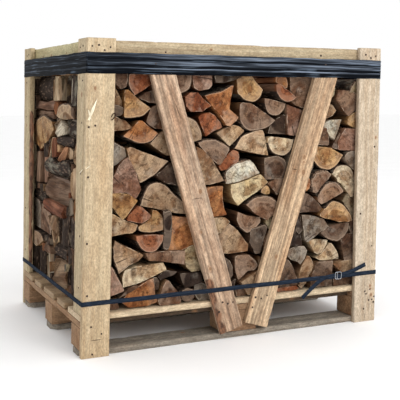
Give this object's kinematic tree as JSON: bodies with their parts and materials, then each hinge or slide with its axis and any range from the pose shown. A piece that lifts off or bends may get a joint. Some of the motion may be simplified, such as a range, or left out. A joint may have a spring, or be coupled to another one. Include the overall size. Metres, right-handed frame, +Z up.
{
  "type": "firewood crate",
  "caption": "Pallet crate of stacked split firewood: corner posts, top rails and V braces hold short split logs, with a plain film band round the top and a strap round the foot.",
  "frame": {"origin": "on the floor under the middle of the crate", "axes": "+X along the crate's long side, +Y from the front (the long side with the strap's buckle) to the back, +Z up"},
  "size_m": [1.2076, 0.8476, 1.07],
  "materials": {
    "pine_face": "planed pale pine, straight grain, small knots, dry and matt",
    "pine_side": "pale pine, slightly greyed",
    "brace_pine": "rough-sawn pinkish pine with streaks and knots",
    "deck_wood": "rough-sawn pine pallet board",
    "block_wood": "brown pallet block, dirty",
    "runner_wood": "weathered grey pallet board",
    "bearer_wood": "dark damp pine",
    "split_log": "split hardwood, end grain with rays and checks, tones from cream to red-brown",
    "bark_log": "rough bark, grey-brown with pale lichen",
    "film": "plain black stretch film, tight lengthwise wrinkles",
    "strap": "embossed blue-black polypropylene strap",
    "steel_wire": "bright galvanised wire"
  },
  "bodies": {
    "root": {"bottom_board_front": "runner_wood", "bottom_board_middle": "runner_wood", "bottom_board_back": "runner_wood", "block_front_left": "block_wood", "block_front_centre": "block_wood", "block_front_right": "block_wood", "block_middle_left": "block_wood", "block_middle_centre": "block_wood", "block_middle_right": "block_wood", "block_back_left": "block_wood", "block_back_centre": "block_wood", "block_back_right": "block_wood", "cross_board_left": "block_wood", "cross_board_centre": "block_wood", "cross_board_right": "block_wood", "bearer_front_left": "bearer_wood", "bearer_front_right": "bearer_wood", "bearer_back_left": "bearer_wood", "bearer_back_right": "bearer_wood", "deck_board_1": "deck_wood", "deck_board_2": "deck_wood", "deck_board_3": "deck_wood", "deck_board_4": "deck_wood", "deck_board_5": "deck_wood", "post_front_left_face": "pine_face", "post_front_left_side": "pine_side", "post_front_right_face": "pine_face", "post_front_right_side": "pine_side", "post_back_left_face": "pine_face", "post_back_left_side": "pine_side", "post_back_right_face": "pine_face", "post_back_right_side": "pine_side", "rail_front": "pine_face", "rail_back": "pine_face", "rail_left": "pine_side", "rail_right": "pine_side", "brace_front_left": "brace_pine", "brace_front_right": "brace_pine", "brace_back_left": "brace_pine", "brace_back_right": "brace_pine", "log_row_front": "split_log", "log_row_middle": "split_log", "log_row_back": "split_log", "loose_log_01": "bark_log", "loose_log_02": "split_log", "loose_log_03": "bark_log", "loose_log_04": "split_log", "loose_log_05": "split_log", "loose_log_06": "split_log", "loose_log_07": "split_log", "loose_log_08": "bark_log", "loose_log_09": "split_log", "loose_log_10": "split_log", "loose_log_11": "bark_log", "loose_log_12": "split_log", "loose_log_13": "split_log", "loose_log_14": "bark_log", "film_band": "film", "strap": "strap", "strap_buckle": "steel_wire"}
  },
  "joints": []
}
